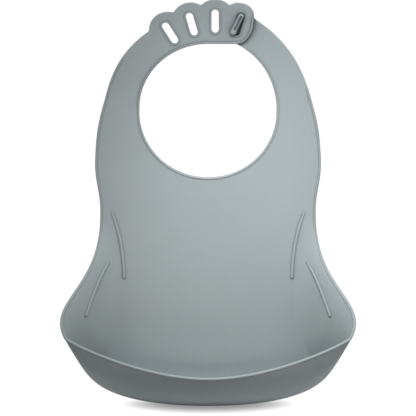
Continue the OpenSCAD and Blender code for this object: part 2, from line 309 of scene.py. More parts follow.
def piece(name, points, faces, material, nodes, body=None, blend=None, sharp=50):
    """A closed piece from points in millimetres, draped, and joined to its body, or with its
    placing baked into its mesh when it has a blend.

    Edges sharper than `sharp` degrees keep a crisp shade.
    """
    mesh = bpy.data.meshes.new(name)
    mesh.from_pydata((drape(points) * MM).tolist(), [], [list(map(int, f)) for f in faces])
    work = bmesh.new()
    work.from_mesh(mesh)
    bmesh.ops.remove_doubles(work, verts=work.verts, dist=1e-6)
    open_edges = [e for e in work.edges if e.is_boundary]
    if open_edges:
        bmesh.ops.holes_fill(work, edges=open_edges, sides=0)
    bmesh.ops.recalc_face_normals(work, faces=work.faces)
    for face in work.faces:
        face.smooth = True
    work.to_mesh(mesh)
    work.free()
    mesh.set_sharp_from_angle(angle=math.radians(sharp))
    mesh.materials.append(material)
    made = bpy.data.objects.new(name, mesh)
    scene.collection.objects.link(made)
    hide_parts(*nodes)
    if blend:
        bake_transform(made)
    else:
        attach(made, body)


def across_fold():
    """The blend arguments for a piece that lies across the chest's fold."""
    return ("lower_bib", "upper_bib", (0, 0, (FOLD_Z - FOLD_BAND) * MM),
            (0, 0, (FOLD_Z + FOLD_BAND) * MM))


def across_flex(body):
    """The blend arguments for a piece that lies across a strap's flex line."""
    return ("upper_bib", body, (0, 0, (FLEX_Z - STRAP_BAND) * MM),
            (0, 0, (FLEX_Z + STRAP_BAND) * MM))


def inside(points, loops):
    """Which points lie inside the outline and outside its holes, by the even-odd rule."""
    x, z = points[:, 0], points[:, 1]
    odd = np.zeros(len(points), bool)
    for loop in loops:
        for (x0, z0), (x1, z1) in zip(loop, np.roll(loop, -1, axis=0)):
            if z0 == z1:
                continue
            crosses = (z0 > z) != (z1 > z)
            odd ^= crosses & (x < (x1 - x0) * (z - z0) / (z1 - z0) + x0)
    return odd


GRID_CLEARANCE = 0.9         # how far a grid point stays from an outline


def filled(loops, grid):
    """Triangles over an outline with holes, as (points, triangles).

    The loops' points come first.
    """
    edge_points = np.concatenate(loops)
    gaps = np.linalg.norm(grid[:, None, :] - edge_points[None, :, :], axis=2).min(axis=1)
    clear = gaps > GRID_CLEARANCE
    grid = grid[inside(grid, loops) & clear]
    points = np.concatenate([edge_points, grid])
    edges, start = [], 0
    for loop in loops:
        count = len(loop)
        edges += [(start + i, start + (i + 1) % count) for i in range(count)]
        start += count
    out, _, triangles, origin, _, _ = delaunay_2d_cdt(
        [Vector(p) for p in points], edges, [], 0, 1e-5, True)
    placed = np.array([tuple(p) for p in out])
    new_index = {olds[0]: new for new, olds in enumerate(origin) if olds}
    triangles = np.array([list(t) for t in triangles if len(t) == 3])
    middle = placed[triangles].mean(axis=1)
    triangles = triangles[inside(middle, loops)]
    order = np.array([new_index[i] for i in range(len(points))])
    back = np.empty(len(placed), int)
    back[order] = np.arange(len(points))
    return points, back[triangles]


def hex_grid(low, high, step):
    """Evenly spread points that fill a box."""
    rows = np.arange(low[1], high[1], step * math.sqrt(3) / 2)
    columns = np.arange(low[0], high[0], step)
    return np.array([(x + (i % 2) * step / 2, z) for i, z in enumerate(rows) for x in columns])


def flat_sheet(loops, grid):
    """A sheet of even thickness over an outline, with its back at y = 0."""
    points, triangles = filled(loops, grid)
    count = len(points)
    faces = [(a, b, c) for a, b, c in triangles]
    faces += [(c + count, b + count, a + count) for a, b, c in triangles]
    start = 0
    for loop in loops:
        size = len(loop)
        for i in range(size):
            a, b = start + i, start + (i + 1) % size
            faces.append((a, a + count, b + count, b))
        start += size
    return np.concatenate([lift(points, -SHEET), lift(points, 0)]), faces


CAP_ANGLES = [math.radians(a) for a in (25, 50, 72)]     # the rings that round off a bead's end


def sweep(path, outward, width, height, closed=False, caps=(True, True), power=2.0, sides=20):
    """A bead along a path. width and height are its half sizes along `outward` and across it.

    A power of 2 gives an elliptical section, and a larger one a squarer section.
    """
    along = tangents(path, closed)
    out = unit(outward - along * np.sum(outward * along, axis=1, keepdims=True))
    up = np.cross(along, out)
    count = len(path)
    width = np.broadcast_to(width, (count,)).astype(float)
    height = np.broadcast_to(height, (count,)).astype(float)
    turn = np.arange(sides) * 2 * math.pi / sides
    c, s = np.cos(turn), np.sin(turn)
    c = np.sign(c) * np.abs(c) ** (2 / power)
    s = np.sign(s) * np.abs(s) ** (2 / power)

    def ring(i, shrink=1.0, shift=0.0):
        return (path[i] + along[i] * shift + shrink * width[i] * c[:, None] * out[i]
                + shrink * height[i] * s[:, None] * up[i])

    rings = [ring(i) for i in range(count)]
    if not closed:
        if caps[0]:
            first = [ring(0, math.cos(a), -width[0] * math.sin(a)) for a in reversed(CAP_ANGLES)]
            rings = first + rings
        if caps[1]:
            rings += [ring(count - 1, math.cos(a), width[-1] * math.sin(a)) for a in CAP_ANGLES]
    total = len(rings)
    faces = []
    for i in range(total if closed else total - 1):
        j = (i + 1) % total
        for k in range(sides):
            n = (k + 1) % sides
            faces.append((i * sides + k, i * sides + n, j * sides + n, j * sides + k))
    if not closed:
        faces.append(tuple(range(sides)))
        faces.append(tuple(reversed(range((total - 1) * sides, total * sides))))
    return np.concatenate(rings), faces


# ---- the flat outline ----

SHOULDER = [(STRAP_ROOT, FLEX_Z), (STRAP_ROOT + 4.2, FLEX_Z - 23.6), (CHEST, -20), (CHEST, -44)]
WAISTLINE = [(CHEST, -44), (CHEST, -58), (WAIST, FOLD_Z + 16), (WAIST, FOLD_Z)]
t = np.linspace(0, 1, 60)
whole_side = np.concatenate([bezier(SHOULDER, t), bezier(WAISTLINE, t)[1:], [(WAIST, WING_Z)]])
whole_side = resample(whole_side, 1.2)


def side_x(z):
    """Half the bib's width at a height below the straps' flex lines."""
    return np.interp(-z, -whole_side[:, 1], whole_side[:, 0])


side_line = np.concatenate([[(side_x(CUT_Z), CUT_Z)], whole_side[whole_side[:, 1] < CUT_Z - 0.3]])


def neck_field(x, z):
    """Signed distance to the neck opening, negative inside it."""
    return np.hypot(x, np.maximum(np.abs(z) - NECK_STRAIGHT / 2, 0)) - NECK_R


def neck_arc(radius):
    """The neck opening's edge below the cut, from right to left."""
    start = math.sqrt(radius ** 2 - max(0.0, CUT_Z - NECK_STRAIGHT / 2) ** 2)
    turn = np.linspace(0, math.pi, 150)
    arc = np.stack([radius * np.cos(turn), -radius * np.sin(turn) - NECK_STRAIGHT / 2], axis=1)
    return np.concatenate([[(start, CUT_Z)], arc, [(-start, CUT_Z)]])


# ---- pocket wall ----

RIM_START = WAIST - RIM_R
CREASE = [(-72, MID, WING_Z), (-64, MID, -118), (-61, MID, -145), (-66, MID, -178),
          (-43, MID, -208), (0, MID, -208)]
BACK = [(-77.5, MID, WING_Z), (-76, MID, -121), (-84, MID, -148), (-93.4, MID, -212),
        (-74, MID, -241), (0, MID, -241)]
FRONT = [(-79.8, MID, WING_Z), (-79, MID, -129), (-105, -18, -150.8), (-91.1, -32, -209.8),
         (-88.6, -43, -239.5), (0, -43, -239.5)]
RIM = [(-RIM_START, MID, WING_Z), (-RIM_START, MID, -145.3), (-125, -33.8, -144.5),
       (-109.8, -44, -171), (-52, -RIM_REACH, -197), (0, -RIM_REACH, -197)]
CORNER_SPEEDS = (0.6, 0.3, 0.14, 0.12)       # how far each row runs straight on past the corner


def with_corner_speed(row, speed):
    """Adds the control point just past the wing corner."""
    row = [np.array(p, float) for p in row]
    return np.array(row[:4] + [row[3] + speed * (row[3] - row[2])] + row[4:])


wall_net = [with_corner_speed(row, speed)
            for row, speed in zip((CREASE, BACK, FRONT, RIM), CORNER_SPEEDS)]


def left_wall(u, v):
    """The left half of the wall's middle surface, u from 0 to 2."""
    on_wing = (u < 1)[..., None]
    rows = [np.where(on_wing, bezier(row[:4], u), bezier(row[3:], u - 1)) for row in wall_net]
    v = v[..., None]
    return ((1 - v) ** 3 * rows[0] + 3 * (1 - v) ** 2 * v * rows[1]
            + 3 * (1 - v) * v * v * rows[2] + v ** 3 * rows[3])


def wall_point(u, v):
    """The wall's middle surface.

    u runs from 0 at the left wing's top to 4 at the right wing's, and v from the crease at 0
    to the rim at 1.
    """
    u, v = np.broadcast_arrays(np.asarray(u, float), np.asarray(v, float))
    p = left_wall(np.where(u > 2, 4 - u, u), v)
    p[..., 0] *= np.where(u > 2, -1, 1)
    return p


def wall_normal(u, v):
    """The wall's normal, on the side that faces the pocket's inside."""
    u, v = np.broadcast_arrays(np.asarray(u, float), np.asarray(v, float))
    d = 1e-3
    du = wall_point(np.clip(u + d, 0, 4), v) - wall_point(np.clip(u - d, 0, 4), v)
    dv = wall_point(u, np.clip(v + d, 0, 1)) - wall_point(u, np.clip(v - d, 0, 1))
    return unit(np.cross(dv, du))


def wall_face(u, v, side):
    """A point on the wall's front (side 1) or back (side -1) face."""
    p = wall_point(u, v) + side * SHEET / 2 * wall_normal(u, v)
    flat = wall_point(u, v) + np.array([0, -side * SHEET / 2, 0])
    return np.where((np.asarray(v) <= 0)[..., None], flat, p)


wing_grid = np.meshgrid(np.linspace(0.01, 0.99, 50), np.linspace(0.01, 0.9, 50))
wing_places = wall_face(*wing_grid, 1)


def on_wing(x, z):
    """The front of the left wing, or of the flat panel beside it, at a place in the bib's plane."""
    nearest = np.argmin(np.hypot(wing_places[..., 0] - x, wing_places[..., 2] - z))
    at = np.array([grid.flat[nearest] for grid in wing_grid])
    d = 1e-3
    for _ in range(8):
        here, by_u, by_v = wall_face(*(at[:, None] + d * np.array([[0, 1, 0], [0, 0, 1]])), 1)
        slope = np.stack([by_u - here, by_v - here], axis=1)[[0, 2]] / d
        at = np.clip(at + np.linalg.solve(slope, [x - here[0], z - here[2]]), 0.002, 0.98)
    found = wall_face(*at[:, None], 1)[0]
    off = math.hypot(found[0] - x, found[2] - z)
    return np.array([x, found[1] if off < 0.5 else -SHEET, z])


WING_STEPS, SCOOP_STEPS = 70, 90
wing_u = np.linspace(0, 1, WING_STEPS + 1)
scoop_u = 1 + np.linspace(0, 1, SCOOP_STEPS + 1) ** 1.35     # closer together near the corner
edge_u = np.concatenate([wing_u, scoop_u[1:], (4 - scoop_u[::-1])[1:], 4 - wing_u[::-1][1:]])


def wall_sheet(u_values, steps):
    """A closed piece of the wall between two places along it."""
    v_values = np.linspace(0, 1, steps + 1) ** 1.2
    u, v = np.meshgrid(u_values, v_values, indexing="ij")
    front, back = wall_face(u, v, 1), wall_face(u, v, -1)
    n, m = u.shape
    count = n * m

    def at(i, j, face):
        return face * count + i * m + j

    faces = []
    for i in range(n - 1):
        for j in range(m - 1):
            faces.append((at(i, j, 0), at(i + 1, j, 0), at(i + 1, j + 1, 0), at(i, j + 1, 0)))
            faces.append((at(i, j + 1, 1), at(i + 1, j + 1, 1), at(i + 1, j, 1), at(i, j, 1)))
        for j in (0, m - 1):
            faces.append((at(i, j, 0), at(i, j, 1), at(i + 1, j, 1), at(i + 1, j, 0)))
    for j in range(m - 1):
        for i in (0, n - 1):
            faces.append((at(i, j, 0), at(i, j + 1, 0), at(i, j + 1, 1), at(i, j, 1)))
    return np.concatenate([front.reshape(-1, 3), back.reshape(-1, 3)]), faces


# ---- chest ----

def chest_loop():
    """The chest's outline: under the beads at its free edges, along the crease at the pocket."""
    right = side_line - [EDGE_HALF, 0]
    left = right[::-1] * [-1, 1]
    crease = wall_point(edge_u, 0.0)[:, [0, 2]]
    wing_v = np.linspace(0, 1, 41) ** 1.2
    wing_top = wall_point(0.0, wing_v)[:, [0, 2]]
    wing_top = wing_top[wing_top[:, 0] > -WAIST + EDGE_HALF]
    neck = neck_arc(NECK_R + EDGE_HALF)[::-1]
    cut_x = np.linspace(neck[-1, 0], right[0, 0], 18)[1:-1]
    cut = np.stack([cut_x, np.full(len(cut_x), CUT_Z)], axis=1)
    return np.concatenate([right, (wing_top * [-1, 1])[::-1][:-1], crease[::-1][:-1],
                           wing_top, left, (cut * [-1, 1])[::-1], neck, cut])


loop = chest_loop()
FINE_HALF = 16               # half the height of the finely divided band at the fold
band = hex_grid((-90, FOLD_Z - FINE_HALF), (90, FOLD_Z + FINE_HALF), 1.6)
wide = hex_grid((-90, -215), (90, CUT_Z), 3.0)
wide = wide[np.abs(wide[:, 1] - FOLD_Z) > FINE_HALF + 1]
points, faces = flat_sheet([loop], np.concatenate([band, wide]))
piece("chest_sheet", points, faces, sheet_silicone, ("upper_chest_panel", "lower_chest_panel"),
      blend=across_fold())

# ---- pocket: two wings and the scoop ----

for side_name, u_values in (("left", wing_u), ("right", 4 - wing_u[::-1])):
    points, faces = wall_sheet(u_values, 40)
    piece(f"{side_name}_wing_sheet", points, faces, sheet_silicone, (f"{side_name}_wing",),
          blend=across_fold())
points, faces = wall_sheet(np.concatenate([scoop_u, 4 - scoop_u[::-1][1:]]), 56)
piece("pocket_scoop_sheet", points, faces, sheet_silicone, ("pocket_scoop",), body="lower_bib")


# ---- beads along the chest's sides, the wings and the pocket's rim ----

def rim_line(u_values):
    """The rim bead's centre line, far enough forward to keep the bead in front of the back."""
    p = wall_point(u_values, 1.0)
    p[:, 1] = np.minimum(p[:, 1], -RIM_R)
    return p


edge_line = rim_line(edge_u)
edge_out = unit(wall_point(edge_u, 1.0) - wall_point(edge_u, 0.98))
side_centre = side_line - [EDGE_HALF, 0]


def whole_edge():
    """One bead's centre line from the left shoulder, round the pocket, to the right shoulder."""
    left = lift(side_centre * [-1, 1], -BEAD / 2)
    right = left[::-1] * [-1, 1, 1]
    near_left, near_right = 1 - smooth(0, 0.3, edge_u), 1 - smooth(0, 0.3, 4 - edge_u)
    outwards = (RIM_R - EDGE_HALF) * (near_right - near_left)
    forwards = (RIM_R - BEAD / 2) * (near_right + near_left)
    rim = edge_line + np.stack([outwards, forwards, 0 * forwards], axis=1)
    line = np.concatenate([left[:-1], rim, right[1:]])
    outward = np.concatenate([np.tile([-1.0, 0, 0], (len(left) - 1, 1)), edge_out,
                              np.tile([1.0, 0, 0], (len(right) - 1, 1))])
    starts = (len(left) - 1, len(left) - 1 + len(wing_u) - 1)
    return line, outward, starts


line, outward, (wing_start, corner_start) = whole_edge()
SMOOTHING_ROUNDS = 6
for _ in range(SMOOTHING_ROUNDS):
    line[1:-1] = (line[:-2] + 2 * line[1:-1] + line[2:]) / 4
    outward[1:-1] = unit(outward[:-2] + 2 * outward[1:-1] + outward[2:])
last = len(line) - 1
GROWTH = 31                  # points over which the flat edge's bead grows to the rim's
grown = smooth(0, 1, np.linspace(0, 1, GROWTH))
half_width = np.full(len(line), EDGE_HALF)
half_width[wing_start:last - wing_start + 1] = RIM_HALF
half_width[wing_start:wing_start + GROWTH] = EDGE_HALF + (RIM_HALF - EDGE_HALF) * grown
half_width[last - wing_start - GROWTH + 1:last - wing_start + 1] = (
    EDGE_HALF + (RIM_HALF - EDGE_HALF) * grown[::-1])

edge_parts = (
    ("left_side_bead", 0, wing_start, True),
    ("left_wing_bead", wing_start, corner_start, True),
    ("pocket_rim_bead", corner_start, last - corner_start, False),
    ("right_wing_bead", last - corner_start, last - wing_start, True),
    ("right_side_bead", last - wing_start, last, True),
)
for node, first, final, bends in edge_parts:
    run = slice(first, final + 1)
    points, faces = sweep(line[run], outward[run], half_width[run], half_width[run],
                          caps=(False, False), power=EDGE_POWER)
    piece(f"{node}_skin", points, faces, bead_silicone, (node,),
          body=None if bends else "lower_bib", blend=across_fold() if bends else None)

neck_line = resample(neck_arc(NECK_R + EDGE_HALF), 1.2)
neck_line[0, 1], neck_line[-1, 1] = CUT_Z, CUT_Z
out = lift(-neck_line, 0)
points, faces = sweep(lift(neck_line, -BEAD / 2), out, EDGE_HALF, BEAD / 2,
                      caps=(False, False), power=EDGE_POWER)
piece("neck_bead_skin", points, faces, bead_silicone, ("neck_bead",), body="upper_bib")


# ---- ribs ----

RIB_HALF = 1.35              # half a rib's width
RIB_RISE = 0.85              # how far it stands proud of the sheet


def rib(name, path, outward, blend):
    """A low raised rib, slimmer over its top quarter, with blunt ends."""
    size = np.minimum(1, 0.7 + 1.2 * np.linspace(0, 1, len(path)))
    points, faces = sweep(path, outward, RIB_HALF * size, RIB_RISE * size)
    piece(f"{name}_skin", points, faces, sheet_silicone, (name,),
          body=None if blend else "lower_bib", blend=blend)


INNER_RIB = [(-74.2, 0, WING_Z + 2.5), (-68.6, 0, -98), (-65.2, 0, -115), (-65, 0, -135.5)]
OUTER_RIB = [(-77.0, 0, -123.0), (-84.5, 0, -134.5), (-88.5, 0, -145.5), (-94.6, 0, -161)]
share = np.linspace(0, 1, 41)
inner = np.array([on_wing(x, z) for x, _, z in bezier(INNER_RIB, share)])
outer = np.array([on_wing(x, z) for x, _, z in bezier(OUTER_RIB, share)])
for side_name, flip in (("left", 1), ("right", -1)):
    mirror = np.array([flip, 1, 1])
    away = np.tile([-1.0 * flip, 0, 0], (len(share), 1))
    rib(f"{side_name}_inner_rib", inner * mirror, away, across_fold())
    rib(f"{side_name}_outer_rib", outer * mirror, away, None)


# ---- straps ----

FAN = np.array([5.5, 6.0])   # the point that the slots fan out from
SLOT_STEP = math.radians(15.6)
slot_angles = [(2 - i) * SLOT_STEP for i in range(4)]
SLOT_R = 66.9                # from the fan's centre to a slot's middle
SLOT_HALF = 6.7              # from a slot's middle to the centre of its round end
SLOT_W = 2.8                 # half the width of a slot
BORDER = 1.9                 # width of a slot's raised border
BORDER_RISE = 0.4
BORDER_POWER = 2.8
LOBE_R = 14.3                # radius of a scallop, and how far it lies past its slot's middle
LOBE_LIFT = 3.5
TOGGLE = FAN + SLOT_R * np.array([-math.sin(slot_angles[3]), math.cos(slot_angles[3])])
TOGGLE_PAD = 12.0            # radius of the pad under the toggle
TIP_OUTER, TIP_OUTER_R = np.array([25.0, 77.0]), 10.5
TIP_INNER, TIP_INNER_R = np.array([14.9, 71.2]), 20.0
TIP_LEFT = 16                # where the tip's inner disc starts
END_FOOT = 18                # where the strap's end crosses the neck opening's top
TOGGLE_OUTER = np.array([-17.0, -8.0])       # centres of the toggle strap's outer and neck edges
TOGGLE_INNER = np.array([-4.0, 3.4])


def fan_point(angle, radius):
    """A place at an angle and a distance from the fan's centre."""
    return FAN + radius * np.array([-math.sin(angle), math.cos(angle)])


def disc(x, z, centre, radius):
    """Signed distance to a disc, negative inside it."""
    return np.hypot(x - centre[0], z - centre[1]) - radius


def melt(a, b, width):
    """The union of two fields, with a soft valley where they meet."""
    h = np.clip(0.5 + 0.5 * (b - a) / width, 0, 1)
    return b + (a - b) * h - width * h * (1 - h)


def trim(a, b, width):
    """The part that two fields share, with its corners rounded."""
    return -melt(-a, -b, width)


def outer_edge(x, z, arc):
    """A strap's outer edge: an arc above the flex line, and the chest's shoulder below it."""
    return np.where(z > FLEX_Z, arc, np.abs(x) - side_x(z))


def scalloped_field(x, z):
    """The scalloped strap's outline as a field, negative inside it."""
    neck = np.where(x > 0, NECK_TOP - z, -neck_field(x, z))
    body = np.maximum(outer_edge(x, z, disc(x, z, (0, 0), STRAP_R)), neck)
    for angle in slot_angles:
        body = melt(body, disc(x, z, fan_point(angle, SLOT_R + LOBE_LIFT), LOBE_R), 1.6)
    end = x - np.interp(z, [0, NECK_TOP, TIP_OUTER[1]], [0, END_FOOT, TIP_OUTER[0]])
    body = trim(body, end, 3.0)
    low_tip = trim(disc(x, z, TIP_INNER, TIP_INNER_R), NECK_TOP - z, 2.0)
    low_tip = np.maximum(low_tip, np.maximum(z - TIP_OUTER[1], TIP_LEFT - x))
    return melt(melt(body, low_tip, 0.6), disc(x, z, TIP_OUTER, TIP_OUTER_R), 1.2)


toggle_outer_r = math.hypot(STRAP_ROOT - TOGGLE_OUTER[0], FLEX_Z - TOGGLE_OUTER[1])
neck_root = math.sqrt(NECK_R ** 2 - (FLEX_Z - NECK_STRAIGHT / 2) ** 2)
toggle_inner_r = math.hypot(neck_root - TOGGLE_INNER[0], FLEX_Z - TOGGLE_INNER[1])


def toggle_field(x, z):
    """The toggle strap's outline as a field, negative inside it."""
    outer = outer_edge(x, z, disc(x, z, TOGGLE_OUTER, toggle_outer_r))
    neck = np.where(z > FLEX_Z, -disc(x, z, TOGGLE_INNER, toggle_inner_r), -neck_field(x, z))
    tilt = slot_angles[3]
    end = -((x - TOGGLE[0]) * math.cos(tilt) + (z - TOGGLE[1]) * math.sin(tilt))
    strap = trim(np.maximum(outer, neck), end, 3.0)
    return melt(strap, disc(x, z, TOGGLE, TOGGLE_PAD), 3.0)


def gradient(field, p):
    """A field's slope at points [x, z]."""
    d = 0.01
    gx = field(p[:, 0] + d, p[:, 1]) - field(p[:, 0] - d, p[:, 1])
    gz = field(p[:, 0], p[:, 1] + d) - field(p[:, 0], p[:, 1] - d)
    return np.stack([gx, gz], axis=1) / (2 * d)


def trace(field, low, high, step=0.5):
    """The field's zero line above the cut, as one open line of points from cut to cut."""
    xs = np.arange(low[0], high[0] + step, step)
    zs = np.arange(low[1], high[1] + step, step)
    values = field(*np.meshgrid(xs, zs, indexing="ij"))
    values[values == 0] = 1e-9
    places, links = {}, {}

    def crossing(i, j, k, m):
        key = (i, j, k, m)
        if key not in places:
            a, b = values[i, j], values[k, m]
            s = a / (a - b)
            places[key] = (xs[i] + s * (xs[k] - xs[i]), zs[j] + s * (zs[m] - zs[j]))
        return key

    within = values < 0
    count = within[:-1, :-1].astype(int) + within[1:, :-1] + within[:-1, 1:] + within[1:, 1:]
    for i, j in zip(*np.where((count > 0) & (count < 4))):
        sides = [(i, j, i + 1, j), (i + 1, j, i + 1, j + 1),
                 (i, j + 1, i + 1, j + 1), (i, j, i, j + 1)]
        hits = [crossing(*s) for s in sides if within[s[0], s[1]] != within[s[2], s[3]]]
        for a, b in zip(hits[0::2], hits[1::2]):
            links.setdefault(a, []).append(b)
            links.setdefault(b, []).append(a)
    here = min((key for key, ends in links.items() if len(ends) == 1), key=lambda k: places[k][0])
    line, before = [places[here]], None
    while True:
        ahead = [k for k in links[here] if k != before]
        if not ahead:
            break
        before, here = here, ahead[0]
        line.append(places[here])
    line = resample(line, 0.8)
    for _ in range(3):
        g = gradient(field, line)
        line -= (field(line[:, 0], line[:, 1]) / np.sum(g * g, axis=1))[:, None] * g
        line[0, 1], line[-1, 1] = CUT_Z, CUT_Z
    return line


def stadium(angle, grow, count=14):
    """A slot's outline, grown by `grow`, as a closed loop."""
    middle = fan_point(angle, SLOT_R)
    radial = np.array([-math.sin(angle), math.cos(angle)])
    side = np.array([math.cos(angle), math.sin(angle)])
    turn = np.linspace(0, math.pi, count)
    r = SLOT_W + grow
    top = [middle + radial * (SLOT_HALF + r * math.sin(a)) + side * r * math.cos(a) for a in turn]
    low = [middle - radial * (SLOT_HALF + r * math.sin(a)) - side * r * math.cos(a) for a in turn]
    loop = np.array(top + low)
    loop = np.concatenate([loop, loop[:1]])
    return resample(loop, 0.7)[:-1]


EDGE_ROUND = 0.7             # how far a strap's free edge is rounded
ROUND_DEPTHS = (0, 0.12, 0.36, EDGE_ROUND)


def strap_sheet(line, field, holes, grid):
    """A strap's sheet: rounded along its free edge, square where it joins the chest."""
    outward = unit(gradient(field, line))
    rings, halves = [], []
    for depth in ROUND_DEPTHS:
        ring = line - outward * depth
        ring[0, 1], ring[-1, 1] = CUT_Z, CUT_Z
        rings.append(ring)
        halves.append(SHEET / 2 - EDGE_ROUND
                      + math.sqrt(EDGE_ROUND ** 2 - (EDGE_ROUND - depth) ** 2))
    inner_ring = rings[-1]
    ends = inner_ring[-1], inner_ring[0]
    steps = max(2, int(abs(ends[0][0] - ends[1][0]) / 1.5))
    cut_edge = np.array([ends[0] + (ends[1] - ends[0]) * i / steps for i in range(1, steps)])
    loops = [np.concatenate([inner_ring, cut_edge])] + holes
    flat, triangles = filled(loops, grid)
    size, count = len(line), len(flat)
    points, faces = [], []
    for face_sign in (-1, 1):
        base = sum(len(p) for p in points)
        points += [lift(ring, MID + face_sign * half) for ring, half in zip(rings[:-1], halves)]
        points.append(lift(flat, MID + face_sign * SHEET / 2))
        for r in range(len(rings) - 1):
            for i in range(size - 1):
                a, b = base + r * size + i, base + (r + 1) * size + i
                faces.append((a, a + 1, b + 1, b))
        faces += [tuple(base + (len(rings) - 1) * size + k for k in t) for t in triangles]
    back = (len(rings) - 1) * size + count
    for i in range(size - 1):
        faces.append((i, i + 1, back + i + 1, back + i))
    start = (len(rings) - 1) * size + len(loops[0])
    for hole in holes:
        for i in range(len(hole)):
            a, b = start + i, start + (i + 1) % len(hole)
            faces.append((a, b, back + b, back + a))
        start += len(hole)
    return np.concatenate(points), faces


scalloped_line = trace(scalloped_field, (-92, CUT_Z), (45, 95))
toggle_line = trace(toggle_field, (2, CUT_Z), (92, 95))

STRAP_GRID = 1.8
holes = [stadium(angle, BORDER / 2) for angle in slot_angles]
points, faces = strap_sheet(scalloped_line, scalloped_field, holes,
                            hex_grid((-92, CUT_Z), (45, 95), STRAP_GRID))
piece("scalloped_strap_sheet", lean(points), faces, sheet_silicone, ("scalloped_strap",),
      blend=across_flex("slotted_side"))
points, faces = strap_sheet(toggle_line, toggle_field, [],
                            hex_grid((2, CUT_Z), (92, 95), STRAP_GRID))
piece("toggle_strap_sheet", points, faces, toggle_shadow_silicone, ("toggle_strap",),
      blend=across_flex("toggle_side"))


FADE = 9                     # length over which a bead sinks into the sheet
FADED = 0.6                  # its size where it is most sunk
SHOULDER_END = 143.7         # the direction, in degrees, where the shoulder's bead ends
NECK_END = 62.5              # and where the toggle strap's neck bead does
TIP_BEAD_TOP = 81            # the height at which the tip's bead starts
NECK_BEAD_TALL = 1.35        # the scalloped strap's neck bead, against the others' height


def edge_bead(name, line, field, chosen, node, body, leaned, fades, tall=1.0):
    """A bead along part of a strap's edge, which sinks into the sheet at the ends that fade."""
    outward = unit(gradient(field, line))
    centre = line - outward * EDGE_HALF
    centre[0, 1], centre[-1, 1] = CUT_Z, CUT_Z
    centre, outward = centre[chosen], outward[chosen]
    outward = np.stack([outward[:, 0], 0 * outward[:, 0], outward[:, 1]], axis=1)
    run = arc_length(centre)
    size = np.ones(len(run))
    if fades[0]:
        size = np.minimum(size, FADED + (1 - FADED) * smooth(0, FADE, run))
    if fades[1]:
        size = np.minimum(size, FADED + (1 - FADED) * smooth(0, FADE, run[-1] - run))
    points, faces = sweep(lift(centre, -BEAD / 2), outward, EDGE_HALF * size,
                          tall * BEAD / 2 * size, caps=fades, power=EDGE_POWER)
    piece(name, lean(points) if leaned else points, faces, bead_silicone, (node,),
          blend=across_flex(body))


angle = np.degrees(np.arctan2(scalloped_line[:, 1], scalloped_line[:, 0]))
index = np.arange(len(scalloped_line))
tip_start = int(np.argmax((scalloped_line[:, 0] > TIP_OUTER[0])
                          & (scalloped_line[:, 1] < TIP_BEAD_TOP)))
edge_bead("scalloped_strap_shoulder_bead", scalloped_line, scalloped_field,
          (index < tip_start) & (angle > SHOULDER_END), "scalloped_strap_bead", "slotted_side",
          True, (False, True))
edge_bead("scalloped_strap_neck_bead", scalloped_line, scalloped_field, index >= tip_start,
          "scalloped_strap_bead", "slotted_side", True, (True, False), tall=NECK_BEAD_TALL)

angle = np.degrees(np.arctan2(toggle_line[:, 1], toggle_line[:, 0]))
index = np.arange(len(toggle_line))
end = int(np.argmin(toggle_line[:, 0]))
edge_bead("toggle_strap_neck_bead", toggle_line, toggle_field,
          (index < end) & (angle < NECK_END), "toggle_strap_bead", "toggle_side",
          False, (False, True))
edge_bead("right_side_bead_end", toggle_line, toggle_field,
          (index > end) & (toggle_line[:, 1] < FLEX_Z + FADE), "right_side_bead", "toggle_side",
          False, (True, False))

# ---- slot borders ----

for number, angle in enumerate(slot_angles, 1):
    loop = stadium(angle, BORDER / 2)
    out = loop - fan_point(angle, SLOT_R)
    half = (SHEET + BORDER_RISE) / 2
    points, faces = sweep(lift(loop, -half), lift(out, 0), BORDER / 2, half, closed=True,
                          power=BORDER_POWER)
    piece(f"slot_border_{number}", lean(points), faces, bead_silicone, ("slot_borders",),
          body="slotted_side")

# ---- toggle ----

STEM_LOW, STEM_HIGH = -SHEET + 0.3, -6.6     # Y of the stem's ends
STEM_R = 1.3
STEM_FLARE = 0.35            # how much wider it is at its foot, and over what share of its height
STEM_SHIFT = [-0.5, 0.3]     # from the middle of the toggle's pad
STEM_HALF = 3.0              # from the stem's middle to the centre of its round end
HEAD_TURN = math.radians(-25)
HEAD_HALF, HEAD_R = 9.5, 2.3
HEAD_UNDER = 6.2             # how far the head's flat underside is in front of the bib's back
HEAD_SWELL = 0.10            # how much fuller its lower end is, and how far its underside bulges
SWELL_START = -3             # where along the head the fuller end starts
HEAD_SHIFT = np.array([-1.2, 0.6])
GROOVE_HALF, GROOVE_R, GROOVE_DEPTH, GROOVE_SHIFT = 6.7, 0.65, 1.5, 1.5
GROOVE_EASE, GROOVE_END = 0.25, 1.2          # how softly its sides and its ends run out


def turned(points, angle, middle):
    """Local points (across, along, forward), turned in the bib's plane and set at a middle."""
    across = np.array([math.cos(angle), math.sin(angle)])
    along = np.array([-math.sin(angle), math.cos(angle)])
    flat = points[:, :1] * across + points[:, 1:2] * along + middle
    return np.stack([flat[:, 0], points[:, 2], flat[:, 1]], axis=1)


def tower(rings):
    """A closed piece through a stack of rings."""
    count, around = len(rings), len(rings[0])
    faces = []
    for i in range(count - 1):
        for k in range(around):
            n = (k + 1) % around
            low, high = i * around, (i + 1) * around
            faces.append((low + k, low + n, high + n, high + k))
    faces += [tuple(range(around)), tuple(range((count - 1) * around, count * around))]
    return np.concatenate(rings), faces


